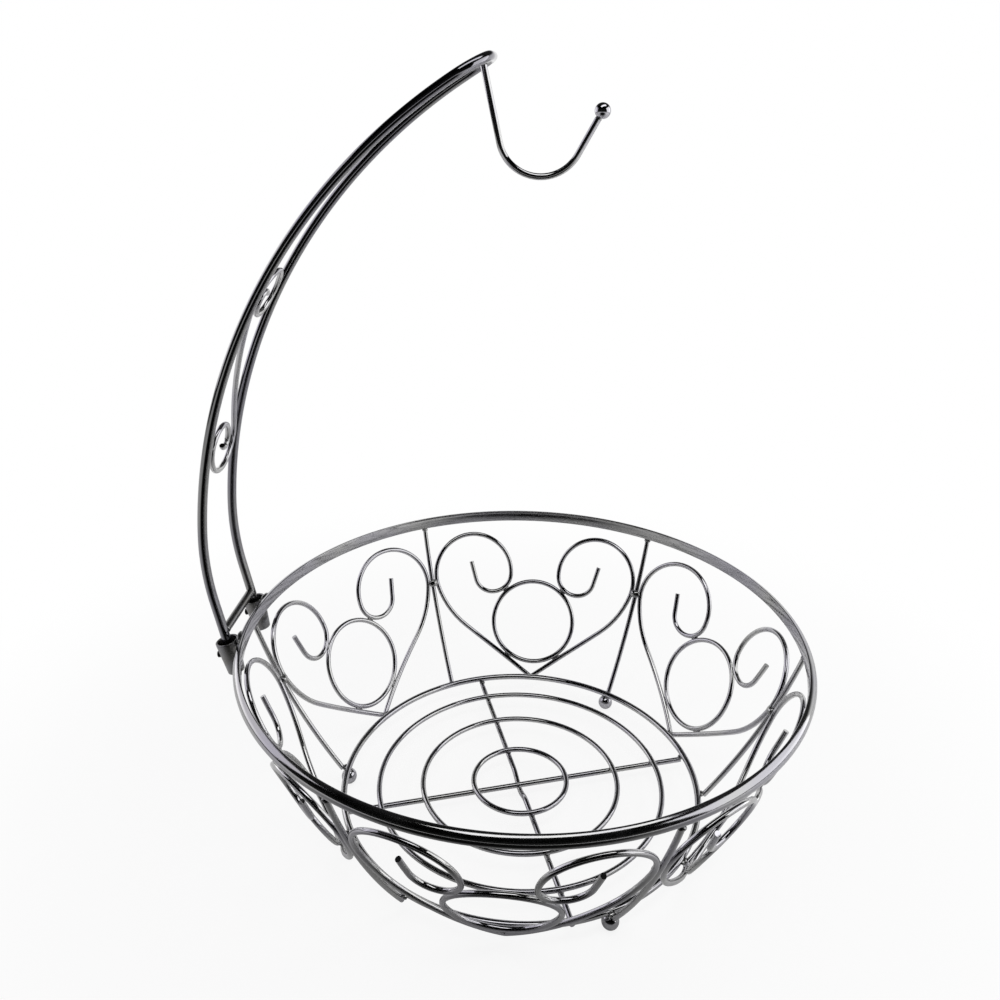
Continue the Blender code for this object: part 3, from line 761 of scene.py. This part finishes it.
def make_screw(cup_radius):
    """Turn one set screw in a cup's hole, with eased ends and a hexagonal recess."""
    end = cup_radius + SCREW_PROUD
    screw = make_pin(SCREW_SIDES, SCREW_DIAMETER / 2, rod_radius + GAP, end)
    bake_place(screw)
    bpy.ops.object.mode_set(mode="EDIT")
    pick(screw, "FACE", lambda face: abs(face.normal.x) > 0.9)
    bpy.ops.mesh.bevel(offset=SCREW_EDGE, segments=3, affect="EDGES")
    bpy.ops.object.mode_set(mode="OBJECT")
    key = make_pin(6, SCREW_KEY_WIDTH / 2, end - SCREW_KEY_DEPTH, end + SCREW_KEY_DEPTH)
    cut_away(screw, key, "hex_recess")
    return screw


def make_sockets():
    """Set a cup and its set screw outside the rim under each leg."""
    cup, cup_radius = make_cup()
    screw = make_screw(cup_radius)
    lean = Matrix.Rotation(-SOCKET_LEAN, 4, "Y")
    for place, side in (("front", -1), ("back", 1)):
        put = Matrix.Translation(ARM_BASE + Vector((0, side * leg_offset, 0))) @ lean
        settle(moved_copy(cup, put), f"socket_cup_{place}", "bowl", f"arm_socket_{place}",
               CUP_CHROME, smooth=35)
        settle(moved_copy(screw, put), f"set_screw_{place}", "bowl", f"lock_screw_{place}",
               SCREW_STEEL, smooth=35)
    bpy.data.objects.remove(cup)
    bpy.data.objects.remove(screw)


# Hanger

def make_rod():
    """Bend the rod: up one leg, round the tip and down the other."""
    rest = SOCKET_LENGTH - SOCKET_FLOOR - GAP
    leg = [(-rest, -leg_offset)]
    straight(leg, 0, rest + LEG_STRAIGHT, stations=4)
    straight(leg, 0, arm_length - TIP_CORNER_RADIUS - LEG_STRAIGHT, stations=90)
    bend(leg, 0, TIP_CORNER_RADIUS, math.pi / 2)
    flat = leg + [(along, -side) for along, side in reversed(leg)]
    rod = bent_wire([arm_point(*place) for place in flat], ROD_DIAMETER, sides=7)
    settle(rod, "arched_rod", "hanger", "hanger_rod", ROD_CHROME_PAINTED_SHADE)


def make_crossbar():
    """Make the bar between the legs just above the cups."""
    reach = leg_offset - rod_radius - GAP
    points = []
    for step in range(CROSSBAR_STATIONS + 1):
        points.append(arm_point(CROSSBAR_RISE, reach * (2 * step / CROSSBAR_STATIONS - 1)))
    bar = bent_wire(points, CROSSBAR_DIAMETER, sides=6)
    settle(bar, "leg_crossbar", "hanger", "hanger_crossbar", CUP_CHROME)


def make_arm_scroll():
    """Bend the S scroll between the legs."""
    radius = leg_offset - rod_radius - GAP - ARM_SCROLL_WIRE / 2 - ARM_SCROLL_SHIFT
    middle = (ARM_SCROLL_LOW + ARM_SCROLL_HIGH) / 2
    drop = middle - ARM_SCROLL_LOW
    reach = math.hypot(ARM_SCROLL_SHIFT, drop)
    heading = -math.atan2(drop, ARM_SCROLL_SHIFT) + math.asin(radius / reach)
    half = [(0, 0)]
    straight(half, heading, math.sqrt(reach ** 2 - radius ** 2), stations=10)
    heading = bend(half, heading, radius, -(heading + 3 * math.pi / 2))
    heading = bend(half, heading, ARM_SCROLL_INNER_RADIUS, -math.pi)
    bend(half, heading, ARM_SCROLL_END_RADIUS, -ARM_SCROLL_END_TURN)
    whole = [(-x, -y) for x, y in reversed(half)] + half[1:]
    scroll = bent_wire([arm_point(middle + y, x) for x, y in whole], ARM_SCROLL_WIRE)
    settle(scroll, "leg_scroll", "hanger", "hanger_scroll", WIRE_CHROME)


def make_hook():
    """Bend the hook and make its ball; give the joint between them and the way across it."""
    tip = arm_point(arm_length, 0)
    clear = rod_radius + GAP + HOOK_WIRE / 2
    path = [(tip.x - clear * math.cos(LEG_END_HEADING),
             tip.z - clear * math.sin(LEG_END_HEADING))]
    straight(path, HOOK_ANGLE, HOOK_DROP, stations=8)
    heading = bend(path, HOOK_ANGLE, HOOK_RADIUS, HOOK_TURN)
    reach = HOOK_REACH - HOOK_BALL_DIAMETER / 2 - GAP
    straight(path, heading, reach, stations=6)
    hook = bent_wire([Vector((x, 0, z)) for x, z in path], HOOK_WIRE, sides=6)
    settle(hook, "banana_hook", "hanger", "hook_wire", WIRE_CHROME)
    x, z = path[-1]
    straight(path, heading, HOOK_REACH - reach)
    end_ball = ball(HOOK_BALL_DIAMETER, (path[-1][0], 0, path[-1][1]))
    settle(end_ball, "hook_end_ball", "hanger", "hook_ball", WIRE_CHROME)
    way = side_way(heading)
    return Vector((x, 0, z)) + way * GAP / 2, way


# Welds

def bead_blanks():
    """Make three lumpy beads of unit radius, as weld metal cools, for all the welds."""
    blanks = []
    for seed in (3, 4, 5):
        start_alone()
        bpy.ops.mesh.primitive_ico_sphere_add(subdivisions=3, radius=1)
        blank = bpy.context.object
        bpy.ops.object.mode_set(mode="EDIT")
        bpy.ops.mesh.select_all(action="SELECT")
        bpy.ops.transform.vertex_random(offset=0.28, uniform=0.2, normal=0.9, seed=seed)
        bpy.ops.mesh.vertices_smooth(factor=0.5, repeat=4)
        bpy.ops.object.mode_set(mode="OBJECT")
        blanks.append(blank)
    return blanks


BLANKS = bead_blanks()
PLACE_PRIMES = (7919, 6271, 5003)


def bead(place, along, out, radii):
    """Lay one bead: its radii run along the joint, across it, and out of it."""
    first = along.normalized()
    third = (out - first * out.dot(first)).normalized()
    second = third.cross(first)
    lie = Matrix.Identity(4)
    for column, (axis, radius) in enumerate(zip((first, second, third), radii)):
        for row in range(3):
            lie[row][column] = axis[row] * radius
    lie.translation = place
    # The place picks the blank, so that the beads vary
    number = round(abs(sum(part * prime for part, prime in zip(place, PLACE_PRIMES))) * 1000)
    return moved_copy(BLANKS[number % len(BLANKS)], lie)


def settle_welds(name, body, beads):
    """Join the beads of one kind to one piece."""
    start_alone()
    for item in beads:
        item.select_set(True)
    bpy.context.view_layer.objects.active = beads[0]
    bpy.ops.object.join()
    settle(bpy.context.object, name, body, None, WELD_CHROME, smooth=60)


def weld_wall():
    """Weld the hearts, circles and upright wires to each other, the rim and the base ring."""
    meeting = (scroll_across * math.sin(half_panel)
               + (scroll_height + wall_apex) * math.cos(half_panel) - wall_apex)
    step = (WALL_WIRE + GAP) / 2
    run = (circle_height + HEART_POINT_DEPTH) * math.sin(side_angle)
    side_x = run * math.cos(side_angle) - step * math.sin(side_angle)
    side_y = run * math.sin(side_angle) - HEART_POINT_DEPTH + step * math.cos(side_angle)
    lean = math.atan2(scroll_height - circle_height, second_bend_across)
    upper_x = (circle_radius + step) * math.cos(lean)
    upper_y = circle_height + (circle_radius + step) * math.sin(lean)
    scrolls, tops, feet, points, sides = [], [], [], [], []
    for index in range(PANELS):
        spoke = math.pi - index * PANEL_STEP
        panel = spoke - PANEL_STEP / 2
        place, along, out = wall_frame(0, meeting - SCROLL_BEAD_DROP, spoke, math.pi / 2)
        scrolls.append(bead(place - out * SCROLL_BEAD_SINK, along, out, SCROLL_BEAD))
        place, along, out = wall_frame(0, spoke_top - RIM_BEAD_DROP, spoke, math.pi / 2)
        tops.append(bead(place, along, out, RIM_BEAD))
        for beads, up, azimuth, radii in (
                (feet, spoke_foot + SPOKE_FOOT_BEAD_RISE, spoke, SPOKE_FOOT_BEAD),
                (points, -HEART_POINT_BEAD_DROP, panel, HEART_POINT_BEAD)):
            place, along = wall_frame(0, up, azimuth)[:2]
            ring = base_ring_point(azimuth, base_ring_height)
            beads.append(bead(place.lerp(ring, WALL_TO_RING_SHARE), along, ring - place, radii))
        for hand in (-1, 1):
            for x, y, turn, radii in (
                    (side_x, side_y, side_angle, CIRCLE_SIDE_BEAD),
                    (upper_x, upper_y, lean + math.pi / 2, CIRCLE_UPPER_BEAD)):
                place, along, out = wall_frame(hand * x, y, panel, hand * turn)
                sides.append(bead(place, along, out, radii))
    settle_welds("scroll_welds", "bowl", scrolls)
    settle_welds("rim_welds", "bowl", tops)
    settle_welds("base_ring_welds", "bowl", feet + points)
    settle_welds("circle_welds", "bowl", sides)


def weld_floor():
    """Weld the rings to the crossed wires, and these and the ball feet to the base ring."""
    crossings = []
    for azimuth in (CROSS_AZIMUTH, CROSS_AZIMUTH + math.pi / 2):
        way = Vector((math.cos(azimuth), math.sin(azimuth), 0))
        for hand in (-1, 1):
            for share in FLOOR_RINGS.values():
                place = BOWL_AXIS + way * hand * share * BASE_RING_RADIUS
                place.z = cross_height + (FLOOR_WIRE + GAP) / 2
                crossings.append(bead(place, way, UP, CROSSING_BEAD))
            place = BOWL_AXIS + way * hand * (BASE_RING_RADIUS - WIRE_END_TRIM)
            place.z = cross_height + FLOOR_WIRE / 2
            crossings.append(bead(place, way, UP, CROSS_END_BEAD))
    settle_welds("floor_welds", "bowl", crossings)
    collars = []
    for index in range(FEET):
        azimuth = math.pi - index * math.tau / FEET
        place = base_ring_point(azimuth, base_ring_height - base_radius - BALL_FOOT_BEAD_DROP)
        tangent = Vector((-math.sin(azimuth), math.cos(azimuth), 0))
        collars.append(bead(place, tangent, UP, BALL_FOOT_BEAD))
    settle_welds("foot_welds", "bowl", collars)


def weld_cups():
    """Weld the cups to the outside of the rim, with a fillet over each lip."""
    seams = []
    for side in (-1, 1):
        toward = Vector((ARM_BASE.x - BOWL_AXIS.x, side * leg_offset, 0)).normalized()
        place = BOWL_AXIS + toward * (RIM_OUTER_RADIUS + GAP / 2)
        place.z = RIM_CENTRE_HEIGHT - CUP_SEAM_BEAD_DROP
        seams.append(bead(place - toward * CUP_SEAM_BEAD_SINK, UP, toward, CUP_SEAM_BEAD))
        lip = place - toward * CUP_LIP_BEAD_SINK + Vector((0, 0, CUP_LIP_BEAD_RISE))
        seams.append(bead(lip, toward.cross(UP), toward, CUP_LIP_BEAD))
    settle_welds("cup_welds", "bowl", seams)


def weld_hanger(hook_end, hook_way):
    """Weld the crossbar and scroll to the legs, the hook to the tip and the ball to the hook."""
    beads = []
    for side in (-1, 1):
        place = arm_point(CROSSBAR_RISE, side * (leg_offset - rod_radius - GAP))
        beads.append(bead(place, arm_way(CROSSBAR_RISE), ACROSS_LEGS, CROSSBAR_BEAD))
    for side, along in ((1, ARM_SCROLL_LOW), (-1, ARM_SCROLL_HIGH)):
        place = arm_point(along, side * (leg_offset - rod_radius - GAP / 2))
        beads.append(bead(place, arm_way(along), ACROSS_LEGS, ARM_SCROLL_BEAD))
    back = side_way(LEG_END_HEADING)
    place = (arm_point(arm_length, 0) - back * (rod_radius + GAP / 2)
             + side_way(HOOK_ANGLE) * HOOK_BEAD_DROP)
    beads.append(bead(place, ACROSS_LEGS, back, HOOK_BEAD))
    beads.append(bead(hook_end, hook_way, ACROSS_LEGS, HOOK_BALL_BEAD))
    settle_welds("hanger_welds", "hanger", beads)


make_rim()
make_hoops()
make_floor_cross()
make_spokes()
make_panels()
make_feet()
make_sockets()
make_rod()
make_crossbar()
make_arm_scroll()
hook_joint = make_hook()
weld_wall()
weld_floor()
weld_cups()
weld_hanger(*hook_joint)
for blank in BLANKS:
    bpy.data.objects.remove(blank)

# Studio, in metres: the table top and the card before the bowl, which only the metal mirrors, as
# a painted dark reflection
TABLE_RADIUS = 1.5
TABLE_SINK = 0.0002
CARD_WIDTH = 1.0
CARD_DEPTH = 1.1
CARD_PLACE = (0, -0.52, 0.0005)
SMOOTH_RAMP = {"interpolation_type": "SMOOTHSTEP"}

# Camera where the photograph was taken from: its place from the bowl's axis, in metres, and
# its lens as a share of the frame's width
CAMERA_PLACE = Vector((0.0282, -0.46896, 0.39464))
CAMERA_YAW = math.radians(-5.893)
CAMERA_PITCH = math.radians(15.619)
CAMERA_ROLL = math.radians(0.144)
LENS_SHARE = 0.9775
LENS_SHIFT = (0.0143, -0.15)
SENSOR_WIDTH_MM = 36


def studio_world():
    """Light the room: white to the eye, a soft even fill, and a room that the metal mirrors."""
    world = bpy.data.worlds.new("studio")
    bpy.context.scene.world = world
    world.use_nodes = True
    tree = world.node_tree
    tree.nodes.clear()
    way = add_node(tree, "ShaderNodeTexCoord").outputs["Generated"]
    split = add_node(tree, "ShaderNodeSeparateXYZ", links={"Vector": way})
    height = add_node(tree, "ShaderNodeMapRange", settings=SMOOTH_RAMP,
                      inputs={"From Min": 0.20, "From Max": 0.45, "To Min": 1.0, "To Max": 0.03},
                      links={"Value": split.outputs["Z"]})
    behind = add_node(tree, "ShaderNodeMapRange", settings=SMOOTH_RAMP,
                      inputs={"From Min": -0.10, "From Max": 0.65, "To Min": 0.01, "To Max": 1.0},
                      links={"Value": split.outputs["Y"]})
    room = add_node(tree, "ShaderNodeMath", settings={"operation": "MULTIPLY"},
                    links={0: height.outputs["Result"], 1: behind.outputs["Result"]})
    path = add_node(tree, "ShaderNodeLightPath")
    mirrored = add_node(tree, "ShaderNodeMix", settings={"data_type": "FLOAT"},
                        inputs={"A": 0.5},
                        links={"Factor": path.outputs["Is Glossy Ray"], "B": room.outputs[0]})
    seen = add_node(tree, "ShaderNodeMath", settings={"operation": "MAXIMUM"},
                    links={0: path.outputs["Is Camera Ray"],
                           1: path.outputs["Is Transmission Ray"]})
    shown = add_node(tree, "ShaderNodeMix", settings={"data_type": "FLOAT"}, inputs={"B": 1.0},
                     links={"Factor": seen.outputs[0], "A": mirrored.outputs["Result"]})
    glow = add_node(tree, "ShaderNodeBackground", inputs={"Color": (1, 1, 1, 1)},
                    links={"Strength": shown.outputs["Result"]})
    add_node(tree, "ShaderNodeOutputWorld", links={"Surface": glow.outputs["Background"]})


def dull_surface(name, colour, roughness):
    """Start a dull plain surface of the studio."""
    material, tree, shader, place = new_material(name)
    shader.inputs["Base Color"].default_value = linear(colour)
    shader.inputs["Roughness"].default_value = roughness
    shader.inputs["Specular IOR Level"].default_value = 0.0
    return material, tree, shader, place


def studio_floor():
    """Lay a white table top that fades into the backdrop far off and keeps the shadow."""
    start_alone()
    bpy.ops.mesh.primitive_circle_add(vertices=96, radius=TABLE_RADIUS, fill_type="NGON",
                                      location=(0, 0, -TABLE_SINK))
    floor = bpy.context.object
    floor.name = "table_top"
    material, tree, shader, place = dull_surface("white_table_top", "#F2F2F2", 0.9)
    far = add_node(tree, "ShaderNodeVectorMath", settings={"operation": "LENGTH"},
                   links={"Vector": place})
    fade = add_node(tree, "ShaderNodeMapRange", settings=SMOOTH_RAMP,
                    inputs={"From Min": 0.2, "From Max": 0.42, "To Min": 0.85, "To Max": 1.0},
                    links={"Value": far.outputs["Value"]})
    path = add_node(tree, "ShaderNodeLightPath")
    seen = add_node(tree, "ShaderNodeMath", settings={"operation": "MAXIMUM"},
                    links={0: path.outputs["Is Camera Ray"],
                           1: path.outputs["Is Transmission Ray"]})
    share = add_node(tree, "ShaderNodeMath", settings={"operation": "MULTIPLY"},
                     links={0: seen.outputs[0], 1: fade.outputs["Result"]})
    white = add_node(tree, "ShaderNodeEmission",
                     inputs={"Color": (1, 1, 1, 1), "Strength": 1.0})
    mix = add_node(tree, "ShaderNodeMixShader",
                   links={"Fac": share.outputs[0], 1: shader.outputs["BSDF"],
                          2: white.outputs["Emission"]})
    tree.links.new(mix.outputs["Shader"], tree.nodes["Material Output"].inputs["Surface"])
    floor.data.materials.append(material)


def painted_reflection_card():
    """Lay a near-black card before the bowl, under the lens, that the lens, lamps and shadows
    don't see: a painted dark reflection for the dark line the metal mirrors.
    """
    start_alone()
    bpy.ops.mesh.primitive_plane_add(size=1, location=CARD_PLACE)
    card = bpy.context.object
    card.scale = (CARD_WIDTH, CARD_DEPTH, 1)
    bpy.ops.object.transform_apply(location=False, rotation=False, scale=True)
    card.name = "painted_reflection_card"
    # Near-black sheet that only mirrored rays meet: painted dark reflection
    material, tree, shader, place = dull_surface("painted_dark_reflection_card", "#151515", 1.0)
    shares = add_node(tree, "ShaderNodeMapping",
                      inputs={"Scale": (2 / CARD_WIDTH, 2 / CARD_DEPTH, 1)},
                      links={"Vector": place})
    far = add_node(tree, "ShaderNodeVectorMath", settings={"operation": "LENGTH"},
                   links={"Vector": shares.outputs["Vector"]})
    fade = add_node(tree, "ShaderNodeMapRange", inputs={"From Min": 0.55, "From Max": 1.0},
                    links={"Value": far.outputs["Value"]})
    clear = add_node(tree, "ShaderNodeBsdfTransparent")
    mix = add_node(tree, "ShaderNodeMixShader",
                   links={"Fac": fade.outputs["Result"], 1: shader.outputs["BSDF"],
                          2: clear.outputs["BSDF"]})
    tree.links.new(mix.outputs["Shader"], tree.nodes["Material Output"].inputs["Surface"])
    card.data.materials.append(material)
    card.visible_camera = False
    card.visible_diffuse = False
    card.visible_shadow = False


def softbox(name, place, aim, width, height, power, colour="#FFFFFF"):
    """Hang a soft lamp that looks at a point, with its power in watts."""
    lamp = bpy.data.lights.new(name, "AREA")
    lamp.shape = "RECTANGLE"
    lamp.size = width
    lamp.size_y = height
    lamp.energy = power
    lamp.color = linear(colour)[:3]
    box = bpy.data.objects.new(name, lamp)
    box.location = place
    box.rotation_euler = (Vector(aim) - Vector(place)).to_track_quat("-Z", "Y").to_euler()
    bpy.context.scene.collection.objects.link(box)


def photo_camera():
    """Set the camera where the photograph was taken from."""
    ahead = Vector((math.sin(CAMERA_YAW) * math.cos(CAMERA_PITCH),
                    math.cos(CAMERA_YAW) * math.cos(CAMERA_PITCH), -math.sin(CAMERA_PITCH)))
    level = Vector((math.cos(CAMERA_YAW), -math.sin(CAMERA_YAW), 0))
    upright = level.cross(ahead)
    right = level * math.cos(CAMERA_ROLL) + upright * math.sin(CAMERA_ROLL)
    up = upright * math.cos(CAMERA_ROLL) - level * math.sin(CAMERA_ROLL)
    data = bpy.data.cameras.new("photo_camera")
    data.sensor_width = SENSOR_WIDTH_MM
    data.lens = LENS_SHARE * SENSOR_WIDTH_MM
    data.shift_x, data.shift_y = LENS_SHIFT
    data.clip_start = 0.01
    data.clip_end = 20
    camera = bpy.data.objects.new("photo_camera", data)
    turn = Matrix((right, up, -ahead)).transposed().to_4x4()
    camera.matrix_world = Matrix.Translation(BOWL_AXIS + CAMERA_PLACE) @ turn
    bpy.context.scene.collection.objects.link(camera)
    bpy.context.scene.camera = camera


studio_world()
studio_floor()
painted_reflection_card()
softbox("overhead_softbox", place=(0.12, -0.20, 1.15), aim=(0.05, -0.1, 0.1),
        width=1.0, height=0.34, power=2.2)
softbox("left_softbox", place=(-0.85, 0.20, 0.50), aim=(0, 0, 0.15),
        width=0.8, height=0.7, power=1.9, colour="#F9F6FF")
softbox("right_softbox", place=(0.88, -0.02, 0.48), aim=(0, 0, 0.15),
        width=1.0, height=0.8, power=3.9)
photo_camera()
bpy.context.scene.view_settings.view_transform = "Standard"

bpy.context.view_layer.update()
